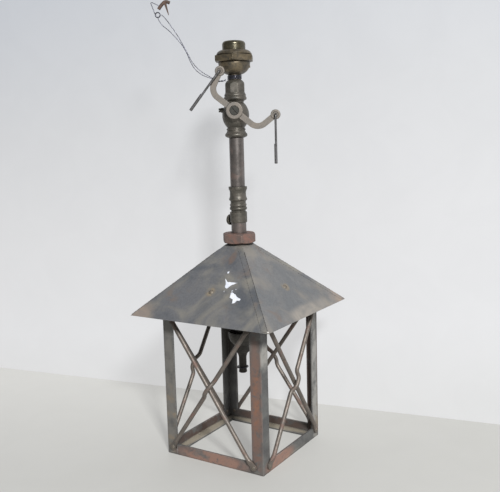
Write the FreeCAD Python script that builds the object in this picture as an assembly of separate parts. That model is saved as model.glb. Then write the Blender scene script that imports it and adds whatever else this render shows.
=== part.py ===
import FreeCAD, Part

import math
import os

from FreeCAD import Vector

# An old gas hall lantern: a braced square cage of steel angle, a four-panel sheet roof, and a
# pipe stem with a two-armed lever cock, a needle regulator and a union to screw to the supply.
#
# Frame: millimetres, +Z up. The origin is the centre of the square foot, on the surface that
# the lantern stands on. The front side faces -Y and the right side faces +X.

# --- Driving dimensions -----------------------------------------------------------------------

# Cage of 3 mm steel angle: 18 mm legs on the posts and 16 mm legs on the rails.
BASE_SIDE = 168.0
CAGE_HEIGHT = 227.0
ANGLE_LEG = 18.0
RAIL_LEG = 16.0
ANGLE_THICK = 3.0
ROLLED_EDGE_R = 1.2
HALF_BASE = BASE_SIDE / 2

# Roof: the outer faces lie on a square pyramid whose point is cut off under the nut.
EAVE_SIDE = 233.5
EAVE_Z = 215.5
PYRAMID_TOP_Z = 325.6
ROOF_TOP_Z = 312.0
SHEET_THICK = 1.2
HALF_EAVE = EAVE_SIDE / 2
ROOF_SLOPE = (PYRAMID_TOP_Z - EAVE_Z) / HALF_EAVE
SHEET_DROP = SHEET_THICK * math.hypot(1, ROOF_SLOPE)
ROOF_RIVET_AT = 76.8
TAB_WIDTH = 12.0
TAB_THICK = 2.0
TAB_SCREW_AT = 73.5

# Brace rods of quarter-inch bar, their ends beaten flat and riveted to the outer faces.
BRACE_R = 3.175
BRACE_OUT = HALF_BASE + BRACE_R + 0.3
EAR_R = 5.2
EAR_THICK = 2.6
EAR_FOOT = (73.0, 12.0)
EAR_FOOT_NEAR_CORNER = (68.6, 10.0)
EAR_HEAD = (69.5, 213.0)
JOGGLE_STEP = 2 * BRACE_R + 0.35
RIVET_R = 2.0
BRACE_RIVET_HEAD_R = 3.1

# Stem of half-inch gas pipe.
PIPE_R = 10.65
PIPE_BORE_R = 8.05
SOCKET_R = PIPE_R + 0.05
TUBE_R = 11.1
TUBE_BORE_R = 8.2
UNION_THREAD_R = 9.3
UNION_THREAD_DEPTH = 14.0
STEM_TOP_Z = 604.0

# Cock: the plug lies level and points a little to the right of the front.
PLUG_AZIMUTH = math.radians(29.0)
PLUG_Z = 505.5
PLUG_FRONT = 20.4
PLUG_FRONT_R = 8.0
PLUG_BACK_R = 6.6
BYPASS_RISE = 1.8
FIT = 0.05

# Lever: both arms are bent up from a level bar, and it rests against its stop, turned clockwise.
LEVER_REST = -39.0
LEVER_TRAVEL = 78.0
LEVER_TIP = (49.6, 31.2)
LEVER_WIDTH = 8.4
LEVER_THICK = 4.0
LEVER_BEND = 77.0
LEVER_BEND_R = 15.0
LEVER_BACK = PLUG_FRONT + 0.4
LEVER_BOSS_R = 12.1
LEVER_BOSS_THICK = 6.2
TIP_BOSS_R = 7.0
TIP_BOSS_THICK = 4.8
SQUARE_DRIVE = 8.0
STOP_RADIUS = 9.4
STOP_PIN_R = 1.2

# Pull rods: hooked through the ends of the lever, thicker at the grip.
ROD_LENGTH = 69.0
ROD_R = 1.6
TIP_HOLE_R = ROD_R + 0.08
ROD_GRIP_R = 2.15
ROD_GRIP_START = 41.0
ROD_FRONT = 30.2
LEFT_ROD_LEAN = -38.0

# Regulator needle: its axis is level and points to the left and back.
KNOB_AZIMUTH = PLUG_AZIMUTH + math.radians(-130.0)
KNOB_Z = 346.8
KNOB_R = 8.1
KNOB_DISTANCE = 15.8
KNOB_THICK = 4.4
NEEDLE_R = 2.0

# Burner hung under the roof.
BURNER_TUBE_R = 8.5
BURNER_BORE_R = 7.1
NOZZLE_END_Z = 114.0
BOWL_RIM_R = 20.0
BOWL_RIM_Z = 178.0
BOWL_FLOOR_Z = 158.0
AIR_PORT_Z = 214.0
AIR_PORT_R = 3.0
CLAMP_Z = 150.4
LUG_TOP_Z = 122.0

# Iron binding wire on the neck.
WIRE_R = 0.55
NECK_R = 9.3

SIDES = (("front", 0), ("right", 90), ("back", 180), ("left", 270))
UP = Vector(0, 0, 1)
ORIGIN = Vector(0, 0, 0)


# --- Helpers ----------------------------------------------------------------------------------

def closed_wire(start, steps):
    """Wire in the XZ plane. A step is a point, or a (middle, end) pair that makes an arc."""
    edges = []
    here = Vector(start[0], 0, start[1])
    for step in list(steps) + [start]:
        if isinstance(step[0], tuple):
            middle, end = (Vector(p[0], 0, p[1]) for p in step)
            edges.append(Part.Arc(here, middle, end).toShape())
        else:
            end = Vector(step[0], 0, step[1])
            if here.distanceToPoint(end) > 1e-6:
                edges.append(Part.makeLine(here, end))
        here = end
    return Part.Wire(edges)


def turned(start, *steps):
    """Solid of revolution about the stem from an outline of (radius, height) points."""
    return Part.Face(closed_wire(start, steps)).revolve(ORIGIN, UP, 360)


def cylinder(radius, start, end):
    return Part.makeCylinder(radius, start.distanceToPoint(end), start, end - start)


def polygon_prism(sides, across_flats, z0, z1, turn=0.0):
    """Upright prism on a regular polygon, with a flat facing -Y when turn is 0."""
    corner_r = across_flats / 2 / math.cos(math.pi / sides)
    corners = []
    for k in range(sides + 1):
        angle = -math.pi / 2 + math.pi / sides + 2 * math.pi * k / sides + turn
        corners.append(Vector(corner_r * math.cos(angle), corner_r * math.sin(angle), z0))
    return Part.Face(Part.makePolygon(corners)).extrude(Vector(0, 0, z1 - z0))


def hex_nut(across_flats, bore_r, z0, z1, turn=0.0):
    """Hexagon nut with both faces chamfered to a circle."""
    block = polygon_prism(6, across_flats, z0, z1, turn)
    corner_r = across_flats / 2 / math.cos(math.pi / 6)
    flat_r = across_flats / 2 - 0.4
    drop = (corner_r - flat_r) * math.tan(math.radians(30))
    blank = turned((0, z0), (flat_r, z0), (corner_r, z0 + drop), (corner_r, z1 - drop),
                   (flat_r, z1), (0, z1))
    bore = Part.makeCylinder(bore_r, z1 - z0, Vector(0, 0, z0))
    return block.common(blank).cut(bore)


def on_side(shape, degrees):
    """Copy of a piece drawn on the front side, carried round to another side of the cage."""
    copy = shape.copy()
    copy.rotate(ORIGIN, UP, degrees)
    return copy


def lever_frame(shape):
    """Stand a piece drawn with x right, y up, z to the front on the plug's axis."""
    right = Vector(math.cos(PLUG_AZIMUTH), math.sin(PLUG_AZIMUTH), 0)
    front = Vector(math.sin(PLUG_AZIMUTH), -math.cos(PLUG_AZIMUTH), 0)
    copy = shape.copy()
    turn = FreeCAD.Rotation(right, UP, front, "ZXY")
    copy.Placement = FreeCAD.Placement(Vector(0, 0, PLUG_Z), turn).multiply(copy.Placement)
    return copy


def rounded_path(points):
    """Wire through the points: straight runs joined by arcs as large as the runs allow."""
    edges = []
    here = points[0]
    for before, corner, after in zip(points, points[1:], points[2:]):
        back, ahead = before - corner, after - corner
        shorter = min(back.Length, ahead.Length)
        half_turn = (math.pi - back.getAngle(ahead)) / 2
        reach = 0.45 * shorter
        start = corner + back.normalize() * reach
        end = corner + ahead.normalize() * reach
        inward = (start + end) * 0.5 - corner
        radius = reach / math.tan(half_turn)
        centre_gap = math.hypot(radius, reach)
        middle = corner + inward.normalize() * (centre_gap - radius)
        edges.append(Part.makeLine(here, start))
        edges.append(Part.Arc(start, middle, end).toShape())
        here = end
    edges.append(Part.makeLine(here, points[-1]))
    return Part.Wire(edges)


def bar_along(points, radius):
    """Round bar swept along a rounded path."""
    path = rounded_path(points)
    start = points[0]
    ring = Part.Wire(Part.Circle(start, points[1] - start, radius).toShape())
    return path.makePipeShell([ring], True, False)


def stand_on(shape, base, direction):
    """Move a piece turned about the Z axis so that its foot is at base and it points along direction."""
    copy = shape.copy()
    copy.Placement = FreeCAD.Placement(base, FreeCAD.Rotation(UP, direction))
    return copy


def dome_middle(radius, height):
    """Half-way point of the arc from a dome's rim to its top, as (radius, height above the rim)."""
    ball_r = (radius ** 2 + height ** 2) / (2 * height)
    half_angle = math.asin(radius / ball_r) / 2
    return ball_r * math.sin(half_angle), height - ball_r * (1 - math.cos(half_angle))


def dome_head(radius, height, base, direction):
    """Low domed head standing on base."""
    return stand_on(turned((0, 0), (radius, 0), (dome_middle(radius, height), (0, height))), base, direction)


def rivet(shank_r, head_r, outer, inner):
    """Rivet with a domed head beyond outer and a flatter one beyond inner."""
    grip = outer.distanceToPoint(inner)
    head_high = head_r * 0.45
    tail_r, tail_high = head_r * 0.85, head_r * 0.3
    head_mid, tail_mid = dome_middle(head_r, head_high), dome_middle(tail_r, tail_high)
    solid = turned((0, -tail_high), ((tail_mid[0], -tail_mid[1]), (tail_r, 0)), (shank_r, 0),
                   (shank_r, grip), (head_r, grip),
                   ((head_mid[0], grip + head_mid[1]), (0, grip + head_high)))
    return stand_on(solid, inner, outer - inner)


# --- Cage -------------------------------------------------------------------------------------

def brace_holes():
    """Drillings for the brace rivets through every side of the cage."""
    tools = []
    for side, degrees in SIDES:
        for u, z in rivet_places(side):
            start = Vector(u, -HALF_BASE - EAR_THICK - 1, z)
            hole = cylinder(RIVET_R + FIT, start, start + Vector(0, ANGLE_THICK + EAR_THICK + 3, 0))
            tools.append(on_side(hole, degrees))
    return tools


def foot_places(side):
    """Foot rivets of one side: (left, right) places as (u, z), seen from outside."""
    left, right = (-EAR_FOOT[0], EAR_FOOT[1]), EAR_FOOT
    if side == "front":
        right = EAR_FOOT_NEAR_CORNER
    if side == "right":
        left = (-EAR_FOOT_NEAR_CORNER[0], EAR_FOOT_NEAR_CORNER[1])
    return left, right


def rivet_places(side):
    return list(foot_places(side)) + [(-EAR_HEAD[0], EAR_HEAD[1]), EAR_HEAD]


def corner_post(degrees, holes):
    """Upright angle at the front left corner, carried round by degrees."""
    corner, inner, toe = -HALF_BASE, -HALF_BASE + ANGLE_THICK, -HALF_BASE + ANGLE_LEG
    outline = [(corner, corner), (toe, corner), (toe, inner), (inner, inner), (inner, toe),
               (corner, toe), (corner, corner)]
    face = Part.Face(Part.makePolygon([Vector(x, y, 0) for x, y in outline]))
    post = face.extrude(Vector(0, 0, CAGE_HEIGHT))
    post = post.makeFillet(ROLLED_EDGE_R, [e for e in post.Edges if is_rolled_edge(e, inner)])
    return on_side(post, degrees).cut(holes)


def is_rolled_edge(edge, inner):
    """Upright edges that rolling rounds off: the outer corner and the two inner toes."""
    upright = edge.BoundBox.ZLength > CAGE_HEIGHT - 1
    x, y = edge.Vertexes[0].X, edge.Vertexes[0].Y
    on_corner = abs(x + HALF_BASE) < 0.01 and abs(y + HALF_BASE) < 0.01
    on_toe = (abs(x - inner) < 0.01) != (abs(y - inner) < 0.01)
    return upright and (on_corner or on_toe)


def rail(z_flange, z_leg0, z_leg1, holes, degrees):
    """Level angle between two posts; its flange is mitred to meet its neighbours'."""
    to_post, inner, toe = HALF_BASE - ANGLE_LEG, HALF_BASE - ANGLE_THICK, HALF_BASE - RAIL_LEG
    leg = Part.makeBox(2 * to_post, ANGLE_THICK, z_leg1 - z_leg0, Vector(-to_post, -HALF_BASE, z_leg0))
    mitre = [(-inner, -inner), (inner, -inner), (toe, -toe), (-toe, -toe), (-inner, -inner)]
    plate = Part.Face(Part.makePolygon([Vector(x, y, z_flange) for x, y in mitre]))
    plate = plate.extrude(Vector(0, 0, ANGLE_THICK))
    return on_side(leg.fuse(plate).removeSplitter(), degrees).cut(holes)


def base_rail(degrees, holes):
    return rail(0, 0, RAIL_LEG, holes, degrees)


def top_rail(degrees, holes):
    return rail(CAGE_HEIGHT - ANGLE_THICK, CAGE_HEIGHT - RAIL_LEG, CAGE_HEIGHT, holes, degrees)


def brace_end(u, z, toward):
    """Beaten end of a brace: a flat ear on the cage and a neck that narrows and thickens to the bar."""
    ear_face = Vector(u, -HALF_BASE, z)
    ear = cylinder(EAR_R, ear_face, ear_face + Vector(0, -EAR_THICK, 0))
    along = Vector(toward[0] - u, 0, toward[1] - z).normalize()
    across = Vector(0, 1, 0).cross(along)
    flat_length, neck_length, lap = 4.4, EAR_R + 9.0, 2.0
    round_at = Vector(u, -BRACE_OUT, z) + along * neck_length
    flat_at = Vector(u, -HALF_BASE - EAR_THICK / 2, z)
    sunk_end = round_at + along * lap
    axis = sunk_end - flat_at
    cone = Part.makeCone(EAR_R - 0.4, BRACE_R - 0.15, axis.Length, flat_at, axis)
    back, front = -HALF_BASE, -HALF_BASE - EAR_THICK
    thick_back, thick_front = -BRACE_OUT + BRACE_R + 0.15, -BRACE_OUT - BRACE_R - 0.15
    wedge = [(0, back), (0, front), (flat_length, front), (neck_length, thick_front),
             (neck_length + 2 * lap, thick_front), (neck_length + 2 * lap, thick_back),
             (neck_length, thick_back), (flat_length, back), (0, back)]
    foot = Vector(u, 0, z) - across * (2 * EAR_R)
    face = Part.Face(Part.makePolygon([foot + along * s + Vector(0, y, 0) for s, y in wedge]))
    neck = cone.common(face.extrude(across * (4 * EAR_R)))
    hole = cylinder(RIVET_R + FIT, ear_face + Vector(0, 1, 0), ear_face - Vector(0, EAR_THICK + 3, 0))
    return ear.fuse(neck), round_at, hole


def crossing(line, other):
    """Where two braces' lines cross, as u; each line is a (foot, head) pair of (u, z) points."""
    (u0, z0), (u1, z1) = line
    (v0, y0), (v1, y1) = other
    slope, other_slope = (z1 - z0) / (u1 - u0), (y1 - y0) / (v1 - v0)
    return (y0 - z0 + slope * u0 - other_slope * v0) / (slope - other_slope)


def brace(foot, head, joggle, cross_u):
    """One brace on the front side; joggle is how far it steps out over the other, at cross_u."""
    foot_end, foot_round, foot_hole = brace_end(*foot, head)
    head_end, head_round, head_hole = brace_end(*head, foot)
    along = (head_round - foot_round).normalize()
    middle = foot_round + along * ((cross_u - foot_round.x) / along.x)
    route = [foot_round, head_round]
    if joggle:
        out = Vector(0, -joggle, 0)
        reach, flat = along * 15, along * 7
        route = [foot_round, middle - reach, middle - flat + out, middle + flat + out,
                 middle + reach, head_round]
        bar = bar_along(route, BRACE_R)
    else:
        bar = cylinder(BRACE_R, *route)
    solid = bar.fuse([foot_end, head_end]).removeSplitter()
    return solid.cut([foot_hole, head_hole])


def braces_of(side, degrees):
    """The straight and the joggled brace of one side."""
    foot_left, foot_right = foot_places(side)
    head_left, head_right = (-EAR_HEAD[0], EAR_HEAD[1]), EAR_HEAD
    falling, rising = (foot_right, head_left), (foot_left, head_right)
    if side == "left":
        falling, rising = rising, falling
    cross_u = crossing(falling, rising)
    straight, joggled = brace(*falling, 0, cross_u), brace(*rising, JOGGLE_STEP, cross_u)
    return on_side(straight, degrees), on_side(joggled, degrees)


def rivets():
    """Roof rivets, then the brace rivets of every side."""
    solids = roof_rivets()
    for side, degrees in SIDES:
        for u, z in rivet_places(side):
            outer = Vector(u, -HALF_BASE - EAR_THICK, z)
            inner = Vector(u, -HALF_BASE + ANGLE_THICK, z)
            solids.append(on_side(rivet(RIVET_R, BRACE_RIVET_HEAD_R, outer, inner), degrees))
    return Part.makeCompound(solids)


# --- Roof -------------------------------------------------------------------------------------

def roof_half(z, below=0.0):
    """Half width of the roof at height z, on its outer face or that far under it."""
    return (PYRAMID_TOP_Z - below - z) / ROOF_SLOPE


def polyhedron(faces):
    shells = [Part.Face(Part.makePolygon(list(corners) + [corners[0]])) for corners in faces]
    return Part.Solid(Part.makeShell(shells))


def roof_panel(degrees):
    """One flat panel, mitred along both hips."""
    corners = {}
    for level, z in (("eave", EAVE_Z), ("top", ROOF_TOP_Z)):
        for layer, below in (("out", 0.0), ("in", SHEET_DROP)):
            half = roof_half(z, below)
            corners[level, layer] = (Vector(-half, -half, z), Vector(half, -half, z))
    eo, ei = corners["eave", "out"], corners["eave", "in"]
    to, ti = corners["top", "out"], corners["top", "in"]
    faces = [(eo[0], eo[1], to[1], to[0]), (ei[1], ei[0], ti[0], ti[1]),
             (eo[1], eo[0], ei[0], ei[1]), (to[0], to[1], ti[1], ti[0]),
             (eo[0], to[0], ti[0], ei[0]), (eo[1], ei[1], ti[1], to[1])]
    panel = on_side(polyhedron(faces), degrees)
    return panel.cut(on_side(roof_rivet_hole(), degrees))


def roof_rivet_line():
    """Point on the outer face under the rivet's head, and the way out of the roof."""
    outward = Vector(0, -ROOF_SLOPE, 1).normalize()
    return Vector(0, -ROOF_RIVET_AT, PYRAMID_TOP_Z - ROOF_SLOPE * ROOF_RIVET_AT), outward


def roof_rivet_hole():
    head, outward = roof_rivet_line()
    return cylinder(RIVET_R + FIT, head - outward * 8, head + outward * 4)


def roof_rivets():
    head, outward = roof_rivet_line()
    one = rivet(RIVET_R, 3.8, head, head - outward * (SHEET_THICK + TAB_THICK + FIT))
    return [on_side(one, degrees) for _, degrees in SIDES]


def roof_tabs():
    """Bent straps that carry the cage from the roof: foot on the rail, sloping leg on the sheet."""
    riser, inner_end, leg_end = 80.0, 68.5, 66.0
    lie = SHEET_DROP + FIT * math.hypot(1, ROOF_SLOPE)
    under = lie + TAB_THICK * math.hypot(1, ROOF_SLOPE)

    def on_slope(h, below):
        return (-h, PYRAMID_TOP_Z - below - ROOF_SLOPE * h)

    outline = [(-inner_end, CAGE_HEIGHT), (-riser, CAGE_HEIGHT), on_slope(riser, lie),
               on_slope(leg_end, lie), on_slope(leg_end, under), on_slope(riser - TAB_THICK, under),
               (-riser + TAB_THICK, CAGE_HEIGHT + TAB_THICK), (-inner_end, CAGE_HEIGHT + TAB_THICK)]
    half = TAB_WIDTH / 2
    face = Part.Face(Part.makePolygon([Vector(half, y, z) for y, z in outline + outline[:1]]))
    tab = face.extrude(Vector(-TAB_WIDTH, 0, 0))
    tab = tab.cut([roof_rivet_hole(), tab_screw_hole()])
    return Part.makeCompound([on_side(tab, degrees) for _, degrees in SIDES])


def tab_screw_hole():
    foot = Vector(0, -TAB_SCREW_AT, CAGE_HEIGHT - ANGLE_THICK - 1)
    return cylinder(RIVET_R + FIT, foot, foot + Vector(0, 0, ANGLE_THICK + TAB_THICK + 2))


def tab_screws():
    """Round-head screws and square nuts that hold the tabs down on the top rails."""
    head = Vector(0, -TAB_SCREW_AT, CAGE_HEIGHT + TAB_THICK)
    tip = Vector(0, -TAB_SCREW_AT, CAGE_HEIGHT - ANGLE_THICK - 6)
    screw = cylinder(RIVET_R, tip, head).fuse(dome_head(3.6, 2.4, head, UP))
    slot = Part.makeBox(1.0, 9.0, 2.0, head + Vector(-0.5, -4.5, 1.3))
    nut_top = CAGE_HEIGHT - ANGLE_THICK
    nut = Part.makeBox(7, 7, 3.2, Vector(-3.5, -TAB_SCREW_AT - 3.5, nut_top - 3.2))
    nut = nut.cut(cylinder(RIVET_R + FIT, tip, head))
    solids = []
    for _, degrees in SIDES:
        solids += [on_side(screw.cut(slot), degrees), on_side(nut, degrees)]
    return Part.makeCompound(solids)


def apex_boss():
    """Cast boss under the point of the roof: the panels are soldered to its four sides."""
    low_z, high_z = 300.0, 309.0
    rings = []
    for z in (low_z, high_z):
        half = roof_half(z, SHEET_DROP + FIT * 2)
        square = [Vector(x * half, y * half, z) for x, y in ((-1, -1), (1, -1), (1, 1), (-1, 1))]
        rings.append(Part.makePolygon(square + square[:1]))
    block = Part.makeLoft(rings, True, True)
    return block.cut(Part.makeCylinder(TUBE_R + FIT, high_z - low_z, Vector(0, 0, low_z)))


def seal_washer():
    bore = TUBE_R + FIT
    return turned((bore, ROOF_TOP_Z), (17.5, ROOF_TOP_Z), ((18.3, ROOF_TOP_Z + 1), (17.5, ROOF_TOP_Z + 2)),
                  (bore, ROOF_TOP_Z + 2))


def backnut():
    return hex_nut(44.8, TUBE_R + FIT, ROOF_TOP_Z + 2, 328.3, turn=math.radians(10))


def inner_locknut():
    return hex_nut(38.0, TUBE_R + FIT, 291.5, 300.0, turn=math.radians(24))


# --- Stem -------------------------------------------------------------------------------------

def lower_tube():
    """Tube that passes through the roof and carries the burner."""
    low, high = 262.0, 350.0
    tube = turned((TUBE_BORE_R, low), (TUBE_R, low), (TUBE_R, high), (TUBE_BORE_R, high))
    return tube.cut(needle_hole())


def regulator_body():
    """Sleeve over the lower tube with a boss for the needle."""
    low, high, outer = 343.9, 359.5, 12.6
    sleeve = turned((TUBE_R + FIT, low), (outer - 0.5, low), (outer, low + 0.5), (outer, high - 0.8),
                    (outer - 0.8, high), (TUBE_BORE_R, high), (TUBE_BORE_R, 350.0 + FIT),
                    (TUBE_R + FIT, 350.0 + FIT))
    gland = cylinder(3.8, knob_axis(TUBE_R + 0.6), knob_axis(13.2))
    return sleeve.fuse(gland).removeSplitter().cut(needle_hole())


def knob_direction():
    return Vector(math.sin(KNOB_AZIMUTH), -math.cos(KNOB_AZIMUTH), 0)


def knob_axis(distance):
    """Point on the needle's axis, at a distance from the stem's."""
    return Vector(0, 0, KNOB_Z) + knob_direction() * distance


def needle_hole():
    return cylinder(NEEDLE_R + FIT, knob_axis(0), knob_axis(20))


def regulator_knob():
    """Milled thumb knob and its needle, one turned piece."""
    outward = knob_direction()
    centre = knob_axis(KNOB_DISTANCE)
    disc = cylinder(KNOB_R, centre - outward * (KNOB_THICK / 2), centre + outward * (KNOB_THICK / 2))
    cap = dome_head(KNOB_R * 0.62, 1.6, centre + outward * (KNOB_THICK / 2), outward)
    needle = cylinder(NEEDLE_R, knob_axis(6.5), centre)
    point = Part.makeCone(0.4, NEEDLE_R, 4.5, knob_axis(2.0), outward)
    grooves = []
    teeth = 24
    for k in range(teeth):
        angle = 2 * math.pi * k / teeth
        across = outward.cross(UP)
        rim = centre + (across * math.cos(angle) + UP * math.sin(angle)) * (KNOB_R + 0.35)
        grooves.append(cylinder(0.75, rim - outward * KNOB_THICK, rim + outward * KNOB_THICK))
    return disc.cut(grooves).fuse([cap, needle, point]).removeSplitter()


def lower_coupling():
    """Turned brass coupling between the pipe and the regulator."""
    return turned((SOCKET_R, 396.5), (13.0, 396.5), ((13.6, 395.9), (13.6, 395.0)), (13.6, 393.0),
                  ((12.1, 389.5), (11.95, 385.5)), ((12.2, 381.5), (13.3, 378.6)), (13.3, 377.0),
                  (11.3, 375.2), (11.3, 371.6), ((12.3, 369.8), (11.6, 367.6)), (11.3, 367.2),
                  (11.8, 366.8), ((12.8, 364.6), (11.9, 362.3)), (10.7, 361.8), (10.7, 359.5),
                  (PIPE_BORE_R, 359.5), (PIPE_BORE_R, 385.0), (SOCKET_R, 385.0))


def stem_pipe():
    low, high = 385.0, 478.0
    return turned((PIPE_BORE_R, low), (PIPE_R, low), (PIPE_R, high), (PIPE_BORE_R, high))


def cock_body():
    """Globe-shaped cock body with a taper bore across it and a lug for the by-pass screw."""
    shell = turned((6.0, 517.5), (12.0, 517.5), ((19.5, 501.2), (12.6, 482.2)), (12.6, 481.0),
                   ((13.9, 479.4), (12.9, 477.8)), ((14.0, 475.4), (15.8, 473.2)),
                   ((16.3, 471.2), (14.6, 468.6)), (11.6, 467.3), (SOCKET_R, 467.3),
                   (SOCKET_R, 478.0), (6.0, 478.0))
    shell = shell.fuse(Part.makeCylinder(6.5, 24, Vector(0, 0, 490)))
    boss = lever_frame(Part.makeCylinder(10.6, 2 * PLUG_FRONT, Vector(0, 0, -PLUG_FRONT)))
    lug = lever_frame(Part.makeCylinder(3.6, 21.0, Vector(0, BYPASS_RISE, 0), Vector(-1, 0, 0)))
    taper = lever_frame(Part.makeCone(PLUG_BACK_R + FIT, PLUG_FRONT_R + FIT, 2 * PLUG_FRONT,
                                      Vector(0, 0, -PLUG_FRONT)))
    way = Part.makeCylinder(5.0, 60.0, Vector(0, 0, 470.0))
    bypass = lever_frame(Part.makeCylinder(1.8 + FIT, 23.0, Vector(0, BYPASS_RISE, 0), Vector(-1, 0, 0)))
    pin = lever_frame(Part.makeCylinder(STOP_PIN_R + FIT, 6.0, Vector(*stop_pin_place(), PLUG_FRONT - 5)))
    return shell.fuse([boss, lug]).removeSplitter().cut([taper, way, bypass, pin])


def bypass_screw():
    """Small headed screw in the side of the cock."""
    shank = Part.makeCylinder(1.8, 13.0, Vector(-8.6, 0, 0), Vector(-1, 0, 0))
    head = Part.makeCylinder(2.9, 3.2, Vector(-21.2, 0, 0), Vector(-1, 0, 0))
    slot = Part.makeBox(1.4, 0.9, 8.0, Vector(-24.6, -0.45, -4.0))
    screw = shank.fuse(head).cut(slot)
    screw.translate(Vector(0, BYPASS_RISE, 0))
    return lever_frame(screw)


def stop_pin_place():
    return (0.0, STOP_RADIUS)


def stop_pin():
    x, y = stop_pin_place()
    pin = Part.makeCylinder(STOP_PIN_R, 6.3, Vector(x, y, PLUG_FRONT - 4.8))
    return lever_frame(pin)


def cock_plug():
    """Taper plug with a cross way, a square drive in front and a threaded tail."""
    taper = Part.makeCone(PLUG_BACK_R, PLUG_FRONT_R, 2 * PLUG_FRONT, Vector(0, 0, -PLUG_FRONT))
    half = SQUARE_DRIVE / 2
    drive = Part.makeBox(SQUARE_DRIVE, SQUARE_DRIVE, 3.9, Vector(-half, -half, PLUG_FRONT))
    tail = Part.makeCylinder(4.0, 9.0, Vector(0, 0, -PLUG_FRONT - 9.0))
    way = Part.makeCylinder(4.6, 24.0, Vector(0, -12.0, 0), Vector(0, 1, 0))
    way.rotate(ORIGIN, UP, -LEVER_TRAVEL - LEVER_REST)
    thread = Part.makeCylinder(1.9, 9.0, Vector(0, 0, PLUG_FRONT - 5.0))
    plug = taper.fuse([drive, tail]).removeSplitter().cut([way, thread])
    plug.rotate(ORIGIN, UP, LEVER_REST)
    return lever_frame(plug)


def plug_washer():
    back = -PLUG_FRONT - 0.4
    disc = Part.makeCylinder(8.6, 1.6, Vector(0, 0, back - 1.6))
    return lever_frame(disc.cut(Part.makeCylinder(4.0 + FIT, 1.6, Vector(0, 0, back - 1.6))))


def plug_nut():
    nut = hex_nut(14.0, 4.0 + FIT, 0, 5.0, turn=math.radians(12))
    nut.translate(Vector(0, 0, -PLUG_FRONT - 2.0 - 5.0))
    return lever_frame(nut)


# --- Lever and pull rods ----------------------------------------------------------------------

def lever_arm(mirror):
    """One arm: a straight piece, a wide bend upwards and a short straight end."""
    bend = math.radians(LEVER_BEND)
    rise_of_bend = LEVER_BEND_R * (1 - math.cos(bend))
    end_run = (LEVER_TIP[1] - rise_of_bend) / math.sin(bend)
    bend_start = LEVER_TIP[0] - end_run * math.cos(bend) - LEVER_BEND_R * math.sin(bend)
    centre = Vector(bend_start, LEVER_BEND_R, 0)

    def on_bend(angle, offset):
        r = LEVER_BEND_R + offset
        return centre + Vector(r * math.sin(angle), -r * math.cos(angle), 0)

    half = LEVER_WIDTH / 2
    ahead = Vector(math.cos(bend), math.sin(bend), 0) * end_run
    outer_start, outer_mid, outer_end = (on_bend(a, half) for a in (0, bend / 2, bend))
    inner_start, inner_mid, inner_end = (on_bend(a, -half) for a in (0, bend / 2, bend))
    root_low, root_high = Vector(0, -half, 0), Vector(0, half, 0)
    edges = [Part.makeLine(root_high, root_low), Part.makeLine(root_low, outer_start),
             Part.Arc(outer_start, outer_mid, outer_end).toShape(),
             Part.makeLine(outer_end, outer_end + ahead),
             Part.makeLine(outer_end + ahead, inner_end + ahead),
             Part.makeLine(inner_end + ahead, inner_end),
             Part.Arc(inner_end, inner_mid, inner_start).toShape(),
             Part.makeLine(inner_start, root_high)]
    face = Part.Face(Part.Wire(edges))
    face.translate(Vector(0, 0, LEVER_BACK))
    arm = face.extrude(Vector(0, 0, LEVER_THICK))
    return arm.mirror(ORIGIN, Vector(1, 0, 0)) if mirror else arm


def stop_slot():
    """Curved slot in the back of the lever: the stop pin runs in it from end to end."""
    play = 0.3
    width = STOP_PIN_R + play
    depth = 1.8
    margin = math.degrees(width / STOP_RADIUS)
    band = Part.makeCylinder(STOP_RADIUS + width, depth, Vector(0, 0, LEVER_BACK))
    band = band.cut(Part.makeCylinder(STOP_RADIUS - width, depth, Vector(0, 0, LEVER_BACK)))
    start = 90 - LEVER_REST - LEVER_TRAVEL - margin
    wedge = Part.makeCylinder(30, depth, Vector(0, 0, LEVER_BACK), UP, LEVER_TRAVEL + 2 * margin)
    wedge.rotate(ORIGIN, UP, start)
    return band.common(wedge)


def cock_lever():
    """Two-armed lever: centre boss with a sunk screw seat, and an eye at each tip."""
    boss = soft_disc(LEVER_BOSS_R, LEVER_BOSS_THICK, Vector(0, 0, LEVER_BACK))
    pieces = [lever_arm(False), lever_arm(True)]
    cuts = []
    for side in (-1, 1):
        at = Vector(side * LEVER_TIP[0], LEVER_TIP[1], LEVER_BACK)
        pieces.append(soft_disc(TIP_BOSS_R, TIP_BOSS_THICK, at))
        cuts.append(Part.makeCylinder(TIP_HOLE_R, 20, at - Vector(0, 0, 5)))
        rim = Part.makeCone(3.6, 4.2, 0.8, at + Vector(0, 0, TIP_BOSS_THICK - 0.7))
        cuts.append(rim)
    seat_z = LEVER_BACK + LEVER_THICK + 0.2
    cuts.append(Part.makeCylinder(6.9, 5, Vector(0, 0, seat_z)))
    half = SQUARE_DRIVE / 2 + FIT
    cuts.append(Part.makeBox(2 * half, 2 * half, 10, Vector(-half, -half, LEVER_BACK - 1)))
    cuts.append(stop_slot())
    lever = boss.fuse(pieces).removeSplitter().cut(cuts)
    lever.rotate(ORIGIN, UP, LEVER_REST)
    return lever_frame(lever)


def soft_disc(radius, thick, base):
    """Disc along Z with its front rim rounded."""
    disc = Part.makeCylinder(radius, thick, base)
    front = [e for e in disc.Edges if e.BoundBox.ZMin > base.z + thick - 0.01]
    return disc.makeFillet(1.0, front)


def lever_screw():
    """Slotted cheese-head screw that holds the lever on the square."""
    seat_z = LEVER_BACK + LEVER_THICK + 0.2
    shank_end = PLUG_FRONT - 3.5
    shank = Part.makeCylinder(1.85, seat_z - shank_end, Vector(0, 0, shank_end))
    head = Part.makeCylinder(6.4, 2.4, Vector(0, 0, seat_z))
    slot = Part.makeBox(15, 1.3, 2, Vector(-7.5, -0.65, seat_z + 1.1))
    slot.rotate(ORIGIN, UP, -50)
    return lever_frame(head.fuse(shank).cut(slot))


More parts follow.
